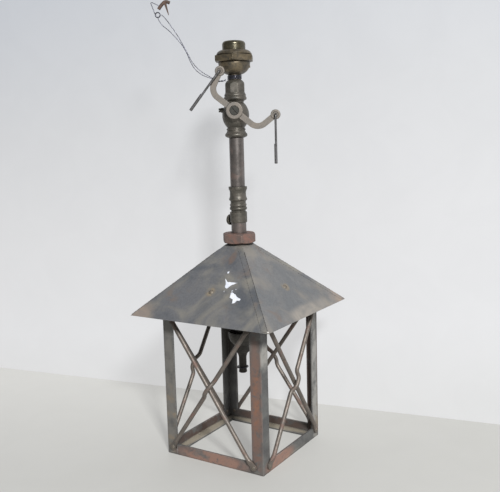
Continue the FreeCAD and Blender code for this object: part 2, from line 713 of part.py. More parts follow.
def tip_place(side):
    """Centre of one eye at rest, in the lever's plane; side is -1 for left and 1 for right."""
    tip = Vector(side * LEVER_TIP[0], LEVER_TIP[1], 0)
    turn = FreeCAD.Rotation(UP, LEVER_REST)
    return turn.multVec(tip)


def pull_rod(side, lean):
    """Rod hooked through an eye from the front, with a thicker grip and a peened tail."""
    tail = LEVER_BACK - 1.3
    corner_r = 3.0
    path = Part.Wire([
        Part.makeLine(Vector(0, 0, tail), Vector(0, 0, ROD_FRONT - corner_r)),
        Part.Arc(Vector(0, 0, ROD_FRONT - corner_r),
                 Vector(0, -corner_r * (1 - math.sqrt(0.5)), ROD_FRONT - corner_r * (1 - math.sqrt(0.5))),
                 Vector(0, -corner_r, ROD_FRONT)).toShape(),
        Part.makeLine(Vector(0, -corner_r, ROD_FRONT), Vector(0, -ROD_GRIP_START, ROD_FRONT))])
    ring = Part.Wire(Part.Circle(Vector(0, 0, tail), UP, ROD_R).toShape())
    hook = path.makePipeShell([ring], True, False)
    peen = Part.makeCylinder(2.7, 1.0, Vector(0, 0, tail))
    grip = Part.makeCylinder(ROD_GRIP_R, ROD_LENGTH - ROD_GRIP_START,
                             Vector(-0.5, -ROD_GRIP_START, ROD_FRONT), Vector(0, -1, 0))
    grip = grip.makeFillet(0.8, [e for e in grip.Edges if len(e.Vertexes) == 1])
    rod = hook.fuse([peen, grip]).removeSplitter()
    rod.rotate(ORIGIN, UP, lean)
    rod.translate(tip_place(side))
    return lever_frame(rod)


# --- Inlet and union --------------------------------------------------------------------------

def inlet_adapter():
    """Turned adapter on the cock's inlet, eight-sided for a spanner."""
    turned_blank = turned((7.0, 517.5), (12.0, 517.5), ((12.8, 519.6), (15.0, 521.0)),
                          ((16.6, 523.6), (15.2, 526.2)), ((15.6, 528.4), (14.3, 530.6)), (14.3, 531.6),
                          (14.9, 532.6), (14.9, 540.6), ((13.4, 545.6), (9.9, 549.6)), (9.6, 549.6),
                          (7.0, 549.6))
    flats = polygon_prism(8, 27.0, 531.6, 551.0, turn=PLUG_AZIMUTH)
    below = Part.makeCylinder(20.0, 14.1, Vector(0, 0, 517.5))
    return turned_blank.common(flats.fuse(below)).removeSplitter()


def union_cup():
    """Bowl-shaped tail of the union: male thread above, neck below, and a small spanner lug."""
    thread_r = 21.9
    cup = turned((7.0, 549.6), (NECK_R, 549.6), (NECK_R, 556.8), (11.0, 557.6),
                 ((19.4, 563.4), (22.8, 572.0)), (22.8, 574.2), (thread_r, 574.2), (thread_r, 579.5),
                 (7.0, 579.5))
    lug = lever_frame(Part.makeBox(3.4, 3.0, 4.0, Vector(19.4, 566.3 - PLUG_Z, -2.0)))
    return cup.fuse(lug).removeSplitter()


def union_washer():
    return turned((8.2, 579.5), (20.4, 579.5), (20.4, 581.0), (8.2, 581.0))


def union_nut():
    """Hexagon nut with a domed top whose lip draws the collar down on the cup."""
    low, hex_top, lip, high = 574.8, 583.6, 586.1, 591.4
    across_flats, groove_r = 52.4, 24.4
    hexagon = polygon_prism(6, across_flats, low, hex_top, turn=PLUG_AZIMUTH + math.pi / 6)
    chamfer = turned((0, low), (25.2, low), (31.0, low + 1.7), (31.0, hex_top), (0, hex_top))
    dome = turned((0, hex_top), (groove_r, hex_top), (groove_r, hex_top + 0.9), (25.5, hex_top + 1.7),
                  ((23.4, 588.8), (17.4, high)), (0, high))
    bore = turned((0, low - 1), (22.0, low - 1), (22.0, lip), (16.7, lip), (16.7, high + 1), (0, high + 1))
    return hexagon.common(chamfer).fuse(dome).cut(bore)


def union_collar():
    """Flanged collar with the female pipe thread that takes the supply pipe."""
    thread_end = STEM_TOP_Z - UNION_THREAD_DEPTH
    return turned((7.0, 581.0), (21.2, 581.0), (21.2, 586.0), (16.6, 586.0), (16.6, 598.4),
                  ((15.8, 602.0), (12.6, STEM_TOP_Z)), (UNION_THREAD_R, STEM_TOP_Z),
                  (UNION_THREAD_R, thread_end), (7.0, thread_end))


# --- Burner -----------------------------------------------------------------------------------

def injector():
    """Brass injector screwed into the lower tube; its tip stands in the mixing tube."""
    body = turned((1.0, 236.0), (2.4, 236.0), (4.6, 241.0), (BURNER_BORE_R - 0.1, 241.0),
                  (BURNER_BORE_R - 0.1, 251.0), (10.5, 251.0), (10.5, 262.0), (TUBE_BORE_R - FIT, 262.0),
                  (TUBE_BORE_R - FIT, 272.0), (3.0, 272.0), (3.0, 240.0), (1.0, 239.0))
    collar = hex_nut(22.0, 9.0, 252.0, 261.9)
    return body.fuse(collar).removeSplitter()


def air_ports(outer_r):
    """Four round air ports at one height, as cutting tools."""
    ports = []
    for angle in (0, 90):
        across = Vector(math.cos(math.radians(angle)), math.sin(math.radians(angle)), 0)
        middle = Vector(0, 0, AIR_PORT_Z)
        ports.append(cylinder(AIR_PORT_R, middle - across * outer_r, middle + across * outer_r))
    return ports


def mixing_tube():
    """Straight tube that draws air in at its ports and carries the mixture down."""
    foot_r = 10.6
    tube = turned((BURNER_BORE_R, 146.4), (foot_r - 0.5, 146.4), (foot_r, 147.0), (foot_r, 157.4),
                  (foot_r - 0.5, BOWL_FLOOR_Z), (BURNER_TUBE_R, BOWL_FLOOR_Z), (BURNER_TUBE_R, 200.0),
                  (9.6, 200.6), (9.6, 202.6), (BURNER_TUBE_R, 203.2), (BURNER_TUBE_R, 250.9),
                  (BURNER_BORE_R, 250.9))
    return tube.cut(air_ports(12.0) + [clamp_drilling(1.3 + FIT, 5.0, 13.0)])


def air_shutter():
    """Loose ring with matching ports: turning it opens or throttles the air."""
    ring = turned((BURNER_TUBE_R + FIT, 203.4), (10.7, 203.4), (11.4, 204.2), (10.7, 205.2), (10.7, 224.0),
                  (BURNER_TUBE_R + FIT, 224.0))
    ear = Part.makeBox(7.0, 1.6, 7.0, Vector(9.6, -0.8, 216.6))
    ear.rotate(ORIGIN, UP, 45)
    bore = Part.makeCylinder(BURNER_TUBE_R + FIT, 24.0, Vector(0, 0, 202.0))
    return ring.fuse(ear.cut(bore)).removeSplitter().cut(air_ports(14.0))


def deflector_bowl():
    """Spun bowl on the mixing tube that turns the hot fumes away from the air ports."""
    thick = 0.9
    hole = BURNER_TUBE_R + FIT
    return turned((hole, BOWL_FLOOR_Z), (12.0, BOWL_FLOOR_Z), ((17.8, 164.4), (BOWL_RIM_R, BOWL_RIM_Z)),
                  (BOWL_RIM_R - thick, BOWL_RIM_Z), ((17.1, 165.2), (11.7, BOWL_FLOOR_Z + thick)),
                  (hole, BOWL_FLOOR_Z + thick))


def clamp_drilling(radius, near, far):
    """Level cylinder to the right of the stem, on the clamp screw's axis."""
    start = Vector(near, CLAMP_Z - PLUG_Z, 0)
    return lever_frame(Part.makeCylinder(radius, far - near, start, Vector(1, 0, 0)))


def clamp_screw():
    """Thumb screw that grips the nozzle through the foot of the mixing tube."""
    shank = clamp_drilling(1.3, BURNER_BORE_R, 15.2)
    return shank.fuse(clamp_drilling(2.3, 13.4, 15.2)).removeSplitter()


def burner_nozzle():
    """Fireclay nozzle with three lugs at its mouth for the mantle ring."""
    bore = 4.3
    nozzle = turned((bore, NOZZLE_END_Z), (5.0, NOZZLE_END_Z), ((5.9, 114.6), (6.2, 116.2)), (5.8, 118.0),
                    (5.8, 136.0), ((6.6, 141.4), (9.4, 146.3)), (7.0, 146.3), (7.0, 154.0), (bore, 154.0))
    lugs = []
    for k in range(3):
        lug = Part.makeBox(3.6, 2.2, 2.4, Vector(5.0, -1.1, LUG_TOP_Z - 2.4))
        lug.rotate(ORIGIN, UP, 75 + 120 * k)
        lugs.append(lug)
    return nozzle.fuse(lugs).removeSplitter()


def mantle_ring():
    """Wire ring that hangs on the nozzle's lugs, left over from the last mantle."""
    return Part.makeTorus(8.0, 0.7, Vector(0, 0, LUG_TOP_Z + 0.75))


# --- Binding wire -----------------------------------------------------------------------------

def wire_point(x, z, forward):
    """Point to the right of the stem, at height z, and forward of it, facing along the plug."""
    right = Vector(math.cos(PLUG_AZIMUTH), math.sin(PLUG_AZIMUTH), 0)
    front = Vector(math.sin(PLUG_AZIMUTH), -math.cos(PLUG_AZIMUTH), 0)
    return right * x + front * forward + Vector(0, 0, z)


def neck_turns():
    """Three and a half turns of wire round the neck of the union."""
    per_turn, rise, foot_z = 10, 1.5, 550.6
    start = PLUG_AZIMUTH + math.radians(190)
    radius = (NECK_R + WIRE_R + 0.05) / math.cos(math.pi / per_turn)
    points = []
    for k in range(per_turn * 7 // 2 + 1):
        angle = start + 2 * math.pi * k / per_turn
        z = foot_z + rise * k / per_turn
        points.append(Vector(radius * math.cos(angle), radius * math.sin(angle), z))
    return bar_along(points, WIRE_R)


def binding_wire():
    """Iron wire tied to the neck: two strands run up to the left and end in a loop and a spur."""
    first = [(-12.6, 551.2, 1.0), (-17.2, 547.3, 3.2), (-22.4, 548.9, 4.4), (-33.7, 552.5, 5.6),
             (-46.6, 557.4, 6.6), (-56.4, 565.9, 7.2), (-62.4, 576.6, 7.6), (-66.6, 588.4, 7.8),
             (-73.0, 600.0, 8.0), (-80.6, 609.2, 8.0), (-90.3, 620.0, 8.0), (-101.6, 628.9, 8.0),
             (-106.3, 638.0, 8.0)]
    second = [(-12.8, 549.0, -1.6), (-18.4, 549.6, -0.6), (-24.6, 546.9, 1.2), (-33.8, 554.6, 3.0),
              (-43.4, 559.4, 4.4), (-53.0, 567.2, 5.2), (-60.6, 576.8, 5.6), (-66.2, 588.6, 5.6),
              (-72.6, 601.4, 5.6), (-79.2, 613.4, 5.6), (-87.2, 625.6, 5.6), (-95.4, 637.2, 5.6),
              (-101.0, 643.0, 5.6)]
    corner = [(-110.7, 644.6, 6.2), (-113.6, 653.6, 6.0), (-116.9, 661.6, 5.6), (-110.2, 658.6, 5.0),
              (-104.4, 655.2, 4.2)]
    spur = [(-99.8, 663.4, 9.6), (-101.4, 666.4, 9.8), (-101.2, 669.4, 10.0)]
    solids = [neck_turns()]
    for route in (first, second, corner, spur):
        solids.append(bar_along([wire_point(*p) for p in route], WIRE_R))
    loop = Part.makeTorus(3.4, WIRE_R * 1.5, wire_point(-106.2, 642.6, 8.0),
                          wire_point(0, 0, 1) - wire_point(0, 0, 0))
    solids[1] = solids[1].fuse(loop).removeSplitter()
    return Part.makeCompound(solids)


def hanging_hook():
    """Rusted hook caught in the end of the wire, with a tapering point."""
    bend = bar_along([wire_point(*p) for p in ((-104.6, 650.2, 8.6), (-100.0, 656.4, 8.2),
                                              (-94.6, 661.0, 8.0), (-88.6, 658.6, 8.0))], 2.4)
    low, high = wire_point(-90.6, 642.0, 8.0), wire_point(-95.4, 659.6, 8.0)
    point = Part.makeCone(0.5, 1.9, low.distanceToPoint(high), low, high - low)
    return bend.fuse(point).removeSplitter()


# --- Output -----------------------------------------------------------------------------------

def build_nodes():
    holes = brace_holes()
    rail_holes = holes + [on_side(tab_screw_hole(), degrees) for _, degrees in SIDES]
    corners = ("front_left", "front_right", "back_right", "back_left")
    nodes = {}
    for (side, degrees), corner in zip(SIDES, corners):
        nodes["post_" + corner] = corner_post(degrees, holes)
        nodes["base_rail_" + side] = base_rail(degrees, holes)
        nodes["top_rail_" + side] = top_rail(degrees, rail_holes)
        straight, joggled = braces_of(side, degrees)
        nodes["brace_" + side + "_straight"] = straight
        nodes["brace_" + side + "_joggled"] = joggled
        nodes["roof_panel_" + side] = roof_panel(degrees)
    nodes.update({
        "rivets": rivets(), "roof_tabs": roof_tabs(), "tab_screws": tab_screws(),
        "apex_boss": apex_boss(), "seal_washer": seal_washer(),
        "backnut": backnut(), "inner_locknut": inner_locknut(), "lower_tube": lower_tube(),
        "regulator_body": regulator_body(), "regulator_knob": regulator_knob(),
        "lower_coupling": lower_coupling(), "stem_pipe": stem_pipe(), "cock_body": cock_body(),
        "bypass_screw": bypass_screw(), "stop_pin": stop_pin(), "cock_plug": cock_plug(),
        "plug_washer": plug_washer(), "plug_nut": plug_nut(), "cock_lever": cock_lever(),
        "lever_screw": lever_screw(), "pull_rod_left": pull_rod(-1, LEFT_ROD_LEAN),
        "pull_rod_right": pull_rod(1, 0.0), "inlet_adapter": inlet_adapter(),
        "union_cup": union_cup(), "union_washer": union_washer(), "union_nut": union_nut(),
        "union_collar": union_collar(), "injector": injector(), "mixing_tube": mixing_tube(),
        "air_shutter": air_shutter(), "deflector_bowl": deflector_bowl(),
        "clamp_screw": clamp_screw(), "burner_nozzle": burner_nozzle(), "mantle_ring": mantle_ring(),
        "binding_wire": binding_wire(), "hanging_hook": hanging_hook()})
    return nodes


def main():
    os.makedirs("parts", exist_ok=True)
    nodes = build_nodes()
    for name, shape in nodes.items():
        solids = shape.Solids
        valid = all(s.isValid() for s in solids)
        print(f"{name:24s} solids {len(solids):3d} valid {valid} volume {shape.Volume:10.1f}")
        shape.exportStep(os.path.join("parts", name + ".step"))
    print(len(nodes), "nodes")


main()
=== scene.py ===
# %% [markdown]
# # An old gas hall lantern
#
# The metal parts come in as one fixed frame, each under its own name and in metres. This lesson
# gives them their looks: steel angle with mill scale and rust, a stained sheet roof, a stem of
# browned pipe and dull brass, and the little things that repeat, such as solder and weld beads.
# Lengths are written in millimetres and turned into metres where they are used.

# %% Load the frame
import math
import random

import bmesh
import bpy
from mathutils import Matrix, Vector


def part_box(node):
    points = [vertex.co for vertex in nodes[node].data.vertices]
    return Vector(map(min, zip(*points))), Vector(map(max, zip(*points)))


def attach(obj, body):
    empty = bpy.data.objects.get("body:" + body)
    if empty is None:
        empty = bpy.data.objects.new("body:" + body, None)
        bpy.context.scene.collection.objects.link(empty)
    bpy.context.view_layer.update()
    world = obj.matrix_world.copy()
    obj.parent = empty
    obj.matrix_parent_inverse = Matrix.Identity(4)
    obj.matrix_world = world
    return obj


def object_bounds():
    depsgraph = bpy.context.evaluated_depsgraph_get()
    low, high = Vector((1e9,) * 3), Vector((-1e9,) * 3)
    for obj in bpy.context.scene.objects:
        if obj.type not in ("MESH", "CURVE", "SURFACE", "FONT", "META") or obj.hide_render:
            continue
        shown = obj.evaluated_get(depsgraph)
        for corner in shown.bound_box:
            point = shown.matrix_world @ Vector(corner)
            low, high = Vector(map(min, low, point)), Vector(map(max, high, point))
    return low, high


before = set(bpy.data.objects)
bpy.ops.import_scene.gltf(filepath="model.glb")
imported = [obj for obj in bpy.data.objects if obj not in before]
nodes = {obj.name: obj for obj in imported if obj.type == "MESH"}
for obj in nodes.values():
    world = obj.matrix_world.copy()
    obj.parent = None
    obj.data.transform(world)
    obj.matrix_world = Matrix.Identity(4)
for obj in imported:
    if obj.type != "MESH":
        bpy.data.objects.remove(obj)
cad_low, cad_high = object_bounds()
MM = 0.001
print("nodes", len(nodes), "box", [round(v, 4) for v in (*cad_low, *cad_high)])

# %% [markdown]
# ## The camera
#
# The lantern is seen from a little above its roof's edge and from the right of its front side. A
# camera is a place, a direction and a focal length, so it is given here by a compass bearing, a
# height angle, a distance and a small roll, and turned into a matrix in one step.

# %% Camera
AZIMUTH, ELEVATION, ROLL = (math.radians(a) for a in (32.33, 8.2, -1.53))
DISTANCE = 1.0895
AIM_RIGHT, AIM_UP = 0.0157, 0.3091
FOCAL_MM, SENSOR_MM, SHIFT_UP = 52.76, 36.0, -0.002

level_right = Vector((math.cos(AZIMUTH), math.sin(AZIMUTH), 0))
back = Vector((math.sin(AZIMUTH) * math.cos(ELEVATION), -math.cos(AZIMUTH) * math.cos(ELEVATION),
               math.sin(ELEVATION)))
level_up = back.cross(level_right)
axis_x = level_right * math.cos(ROLL) + level_up * math.sin(ROLL)
axis_y = level_up * math.cos(ROLL) - level_right * math.sin(ROLL)
place = level_right * AIM_RIGHT + Vector((0, 0, AIM_UP)) + back * DISTANCE

camera_data = bpy.data.cameras.new("camera")
camera_data.lens = FOCAL_MM
camera_data.sensor_width = SENSOR_MM
camera_data.shift_y = SHIFT_UP
camera = bpy.data.objects.new("camera", camera_data)
camera.matrix_world = Matrix.Translation(place) @ Matrix((axis_x, axis_y, back)).transposed().to_4x4()
bpy.context.scene.collection.objects.link(camera)
bpy.context.scene.camera = camera
print("camera at", [round(v, 3) for v in place])

# %% [markdown]
# ## Nodes and colours
#
# Every finish below is a small graph of shader nodes. One function adds a node with its settings
# and its links, and one turns a colour given as sRGB hex into the linear numbers that the renderer
# mixes light in. A third starts a material off with an empty graph.

# %% Helpers for materials
def linear(code):
    """RGBA in linear light from an sRGB hex code."""
    parts = [int(code[i:i + 2], 16) / 255 for i in (0, 2, 4)]
    return tuple(c / 12.92 if c <= 0.04045 else ((c + 0.055) / 1.055) ** 2.4 for c in parts) + (1.0,)


def add(tree, kind, inputs=None, **settings):
    """A node with its settings; an input is a number, a colour or another node's output."""
    node = tree.nodes.new(kind)
    for name, value in settings.items():
        setattr(node, name, value)
    for name, value in (inputs or {}).items():
        if isinstance(value, bpy.types.NodeSocket):
            tree.links.new(value, node.inputs[name])
        else:
            node.inputs[name].default_value = value
    return node


def empty_material(name):
    """A material with an empty graph, and its object coordinates."""
    material = bpy.data.materials.new(name)
    material.use_nodes = True
    material.node_tree.nodes.clear()
    where = add(material.node_tree, "ShaderNodeTexCoord").outputs["Object"]
    return material, material.node_tree, where


print("helpers ready; middle grey is", round(linear("808080")[0], 3), "in linear light")

# %% [markdown]
# ## Patterns that every old metal shares
#
# Rust, stains and scale are all soft patches: noise of a known size, cut off between two levels.
# Some only grow in certain places, such as the foot of a post, so a patch can be held to a few
# egg-shaped regions of the object. All sizes are real ones in millimetres.

# %% Patches
def patches(tree, where, size_mm, low, high, detail=4.0, warp=0.6, seed=0.0):
    """0 to 1 mask of soft patches about size_mm across."""
    shifted = add(tree, "ShaderNodeVectorMath", {0: where, 1: (seed, seed * 0.7, -seed)}).outputs[0]
    grain = add(tree, "ShaderNodeTexNoise", {"Vector": shifted, "Scale": 1 / (size_mm * MM),
                                             "Detail": detail, "Roughness": 0.6, "Distortion": warp})
    return add(tree, "ShaderNodeMapRange",
               {"Value": grain.outputs["Fac"], "From Min": low, "From Max": high},
               interpolation_type="SMOOTHSTEP").outputs["Result"]


def regions(tree, where, eggs):
    """0 to 1 mask that is 1 inside egg-shaped regions, given as (centre, radii) in millimetres."""
    total = None
    for centre, radii in eggs:
        offset = add(tree, "ShaderNodeVectorMath", {0: where, 1: [c * MM for c in centre]},
                     operation="SUBTRACT").outputs[0]
        scaled = add(tree, "ShaderNodeVectorMath", {0: offset, 1: [r * MM for r in radii]},
                     operation="DIVIDE").outputs[0]
        far = add(tree, "ShaderNodeVectorMath", {0: scaled}, operation="LENGTH").outputs["Value"]
        egg = add(tree, "ShaderNodeMapRange", {"Value": far, "From Min": 1.15, "From Max": 0.55},
                  interpolation_type="SMOOTHSTEP").outputs["Result"]
        total = egg if total is None else add(
            tree, "ShaderNodeMath", {0: total, 1: egg}, operation="MAXIMUM").outputs[0]
    return total


print("patches and regions ready")

# %% [markdown]
# ## Aged metal
#
# One recipe serves the whole lantern, because its metals aged in the same room: a ground colour
# with clouds in it, stains laid over it in order, a paler line where hands and cloths rubbed the
# edges, grime and painted shade where two parts meet, and a fine grain in the surface. Rust and dirt
# aren't metal to the light, so they lower the metallic value and raise the roughness where they lie.

# %% Stains, edges, and grime with painted shade
def stained(tree, where, colour, stains):
    """The stains laid over the colour in order, and a mask of how dull they leave it."""
    dull = None
    for number, (tint, size_mm, low, high, eggs, dullness) in enumerate(stains):
        mask = patches(tree, where, size_mm, low, high, seed=2.1 + number)
        if eggs:
            mask = add(tree, "ShaderNodeMath", {0: mask, 1: regions(tree, where, eggs)},
                       operation="MULTIPLY").outputs[0]
        colour = add(tree, "ShaderNodeMix", {0: mask, 6: colour, 7: linear(tint)},
                     data_type="RGBA").outputs[2]
        step = add(tree, "ShaderNodeMath", {0: mask, 1: dullness}, operation="MULTIPLY").outputs[0]
        dull = step if dull is None else add(
            tree, "ShaderNodeMath", {0: dull, 1: step}, operation="MAXIMUM").outputs[0]
    return colour, dull


def rubbed_edges(tree, where, colour, rounded, edge):
    """A broken line of the edge colour where the rounded normal leaves the flat one."""
    flat = add(tree, "ShaderNodeNewGeometry").outputs["Normal"]
    same = add(tree, "ShaderNodeVectorMath", {0: rounded, 1: flat},
               operation="DOT_PRODUCT").outputs["Value"]
    rim = add(tree, "ShaderNodeMapRange", {"Value": same, "From Min": 0.995, "From Max": 0.9})
    broken = add(tree, "ShaderNodeMath", {0: rim.outputs["Result"],
                                          1: patches(tree, where, 6.0, 0.35, 0.6, seed=5.0)},
                 operation="MULTIPLY").outputs[0]
    return add(tree, "ShaderNodeMix", {0: broken, 6: colour, 7: linear(edge)},
               data_type="RGBA").outputs[2]


def crevice_grime_and_shade(tree, colour, grime_and_shade, crevice_mm=5.0):
    """Grime and painted shade wherever another surface is closer than the given distance in mm."""
    # Ambient occlusion darkens the colour where parts are close: painted shade, taken as grime too.
    open_air = add(tree, "ShaderNodeAmbientOcclusion", {"Distance": crevice_mm * MM}, samples=4)
    crevice = add(tree, "ShaderNodeMapRange", {"Value": open_air.outputs["AO"], "From Min": 0.75,
                                               "From Max": 0.35, "To Max": 0.75}).outputs["Result"]
    return add(tree, "ShaderNodeMix", {0: crevice, 6: colour, 7: linear(grime_and_shade)},
               data_type="RGBA").outputs[2]


print("stains, edges and grime ready")

# %% Aged metal
def aged_metal(name, ground, cloud, cloud_mm=25.0, stains=(), metallic=0.5, roughness=(0.42, 0.62),
               grain_mm=0.9, relief_mm=0.06, edge=None, edge_mm=0.7, grime_and_shade="2a2724"):
    """Stains are (colour, size_mm, low, high, eggs or None, dullness) in the order they are laid."""
    material, tree, where = empty_material(name)
    clouds = patches(tree, where, cloud_mm, 0.38, 0.64, seed=1.3)
    colour = add(tree, "ShaderNodeMix", {0: clouds, 6: linear(ground), 7: linear(cloud)},
                 data_type="RGBA").outputs[2]
    speck = patches(tree, where, grain_mm * 2.5, 0.35, 0.75, detail=2.0, warp=0.0)
    faint = add(tree, "ShaderNodeMath", {0: speck, 1: 0.16}, operation="MULTIPLY").outputs[0]
    colour = add(tree, "ShaderNodeMix", {0: faint, 6: colour, 7: linear("000000")},
                 data_type="RGBA").outputs[2]
    colour, dull = stained(tree, where, colour, stains)
    rounded = add(tree, "ShaderNodeBevel", {"Radius": edge_mm * MM}, samples=4).outputs[0]
    if edge:
        colour = rubbed_edges(tree, where, colour, rounded, edge)
    # Grime and painted shade in crevices, from ambient occlusion.
    if grime_and_shade:
        colour = crevice_grime_and_shade(tree, colour, grime_and_shade)
    sheen = patches(tree, where, cloud_mm * 0.5, 0.3, 0.7, seed=7.7)
    rough = add(tree, "ShaderNodeMapRange", {"Value": sheen, "To Min": roughness[0],
                                             "To Max": roughness[1]}).outputs["Result"]
    bare = metallic
    if dull is not None:
        rough = add(tree, "ShaderNodeMath", {0: dull, 1: 0.3, 2: rough},
                    operation="MULTIPLY_ADD").outputs[0]
        bare = add(tree, "ShaderNodeMapRange", {"Value": dull, "To Min": metallic,
                                                "To Max": 0.0}).outputs["Result"]
    grain = add(tree, "ShaderNodeTexNoise", {"Vector": where, "Scale": 1 / (grain_mm * MM),
                                             "Detail": 3.0})
    bump = add(tree, "ShaderNodeBump", {"Height": grain.outputs["Fac"], "Distance": relief_mm * MM,
                                        "Strength": 1.0, "Normal": rounded})
    shader = add(tree, "ShaderNodeBsdfPrincipled", {"Base Color": colour, "Metallic": bare,
                                                    "Roughness": rough, "Normal": bump.outputs[0]})
    add(tree, "ShaderNodeOutputMaterial", {"Surface": shader.outputs[0]})
    return material


def dress(material, *names):
    """Give the material to CAD nodes; a name that ends in * takes every node that starts so."""
    count = 0
    for name in names:
        for node, piece in nodes.items():
            if node == name or (name.endswith("*") and node.startswith(name[:-1])):
                piece.data.materials.clear()
                piece.data.materials.append(material)
                count += 1
    print(material.name, "on", count, "pieces")


print("one recipe for aged metal ready")

# %% [markdown]
# ## Steel angle
#
# The cage is rolled steel angle. Its mill scale has dulled to a neutral grey, with terracotta rust
# where wet hands and floors reached it. Whole flanges rusted and their neighbours didn't, so the rust
# is held to regions: the left flange of the post that is nearest, most of the front rail, the
# insides of the rails, where a dark reddish tone is rust with painted shade over it. Light and shade
# are painted in regions too: paler flanges facing right, pale tops on the bottom flanges, and a dark
# painted shade of the roof on the upper posts and the far post. The back is taken to have rusted the
# same way, so its regions match. The patches could be painted by hand on a flat map, but a region in
# real millimetres stays sharp close up and can be moved by changing a number.

# %% Where the cage is paler, where it rusted, and where light and shade are painted on it
half = -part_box("base_rail_front")[0].y / MM
post_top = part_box("post_front_left")[1].z / MM
LEG, THICK = 18.0, 3.0
mid_flange, inside = half - LEG / 2, half - THICK
tall = post_top * 0.55
# Painted light: paler patches on the posts' right-facing flanges, and a mirror of one on a left-facing
# flange.
painted_light_side_flanges = [((half, mid_flange, post_top * 0.4), (3, 12, tall)),
             ((-half, mid_flange, post_top * 0.4), (3, 12, tall)),
             ((half, -mid_flange, post_top * 0.74), (3, 12, 22))]
# A paler grey on the left post's front flange.
paler_front_flange = [((-mid_flange, -half, post_top * 0.42), (12, 3, tall))]
rusty_flange = [((mid_flange, -half, post_top * 0.42), (12, 2.4, tall)),
                ((-mid_flange, half, post_top * 0.42), (12, 2.4, tall))]
rusty_core = [((mid_flange, -half, post_top * 0.45), (6, 2.4, tall * 0.62)),
              ((-mid_flange, half, post_top * 0.45), (6, 2.4, tall * 0.62))]
rusty_rail = [((-4, -half, 7), (70, 3, 14)), ((half, -38, 7), (3, 46, 14)),
              ((4, half, 7), (70, 3, 14)), ((-half, 38, 7), (3, 46, 14))]
rusty = rusty_flange + rusty_rail
# Rust with painted shade: a dark reddish tone on the rails' inner faces and one post's inner face.
painted_shade_over_rust_inside = [((0, inside, 10), (80, 2, 12)), ((inside, 0, 10), (2, 80, 12)),
               ((-inside, 0, 10), (2, 80, 12)), ((0, -inside, 10), (80, 2, 12)),
               ((mid_flange, inside, post_top / 2), (12, 2, post_top))]
# Painted light: pale tan tops on the bottom rails' flanges, where the lamp reaches inside.
painted_light_shelf = [((0, mid_flange, THICK), (90, 10, 1.6)), ((-mid_flange, 0, THICK), (10, 90, 1.6)),
              ((mid_flange, 0, THICK), (10, 90, 1.6))]
tan_foot = [((-mid_flange, -half, 50), (12, 3, 60)), ((half, mid_flange, 30), (3, 12, 30))]
# Painted shade of the roof: dark on the far post's upper part and on the tops of all posts.
painted_roof_shade = [((-half, half, post_top * 0.8), (24, 24, post_top * 0.46)),
         ((0, 0, post_top + 6), (130, 130, 40))]
print("posts", round(post_top, 1), "mm tall, with", len(rusty + rusty_core), "rusty regions")

# %% The cage
# Mill scale: a dull grey that shines softly on flats, with matt rust and a thin bright arris, and with
# painted light and painted shade laid over it in regions.
scaled_steel = aged_metal(
    "mill_scaled_steel_angle", "5d5d5d", "71716f", 30.0,
    stains=[("9d9b96", 26.0, 0.28, 0.58, painted_light_side_flanges, 0.2),
            ("7b7873", 26.0, 0.25, 0.55, paler_front_flange, 0.2),
            ("887c6b", 16.0, 0.46, 0.66, tan_foot, 0.5),
            ("745f56", 22.0, 0.34, 0.52, rusty_flange, 0.7),
            ("87614d", 24.0, 0.42, 0.72, rusty_core, 0.9),
            ("907265", 26.0, 0.28, 0.52, rusty_rail, 0.8),
            ("544640", 20.0, 0.3, 0.5, painted_shade_over_rust_inside, 0.8),
            ("a79e8d", 14.0, 0.2, 0.42, painted_light_shelf, 0.7),
            ("5c5a5a", 7.0, 0.55, 0.7, rusty, 0.5),
            ("4f433e", 3.0, 0.6, 0.74, rusty, 0.9),
            ("44413d", 60.0, 0.1, 0.3, painted_roof_shade, 0.9)],
    metallic=0.4, roughness=(0.48, 0.64), edge="a3a29f", edge_mm=0.8)
dress(scaled_steel, "post_*", "base_rail_*", "top_rail_*")

# %% [markdown]
# ## Brace bars
#
# The braces are drawn bar, never painted. Drawn steel browns evenly and keeps a soft shine, so its
# clouds are long and its highlight is stronger than the angle's. Their upper ends are darker: painted
# shade of the roof.
# The same recipe with other numbers makes them, the beaten heads that hold them, and the screw in
# the lever.

# %% The braces and their rivets
# Painted shade of the roof on the braces' upper ends.
painted_roof_shade_on_braces = [((0, 0, post_top * 0.98), (125, 125, 70))]
# Drawn bar: brown and even, with a soft streak of light along it, and painted shade on its upper ends.
browned_bar = aged_metal(
    "browned_drawn_bar", "6d6761", "7d746c", 22.0,
    stains=[("755f56", 20.0, 0.5, 0.7, None, 0.6), ("463f3a", 40.0, 0.2, 0.5, painted_roof_shade_on_braces, 0.5),
            ("4f4943", 6.0, 0.6, 0.8, None, 0.5)],
    metallic=0.5, roughness=(0.42, 0.56))
dress(browned_bar, "brace_*")
# Hammered heads: warmer than the bar, uneven, and rubbed pale on top.
old_fastener = aged_metal("hammered_fastener_steel", "6b645b", "7d7467", 6.0, metallic=0.3,
                          edge="968d82", edge_mm=0.4, relief_mm=0.1)
dress(old_fastener, "rivets", "roof_tabs", "tab_screws", "stop_pin")
# Blackened screw: nearly black, so that it stands out from the pale lever.
black_screw = aged_metal("blackened_screw_steel", "2b2b27", "36352f", 4.0, metallic=0.3,
                         roughness=(0.5, 0.6), edge="5e5b52", edge_mm=0.4)
dress(black_screw, "lever_screw")

# %% [markdown]
# ## The sheet roof
#
# Black sheet iron that has weathered to a dull blue-grey, with soft tan clouds of old varnish and
# rust bleeding through, a brown blush at the tips, and a tan halo round each rivet. The right panel
# is made paler and warmer than the others as painted light, so it has colours of its own. Clouds this
# wide need only noise about 60 mm across, with a few regions for the marks that have a cause.

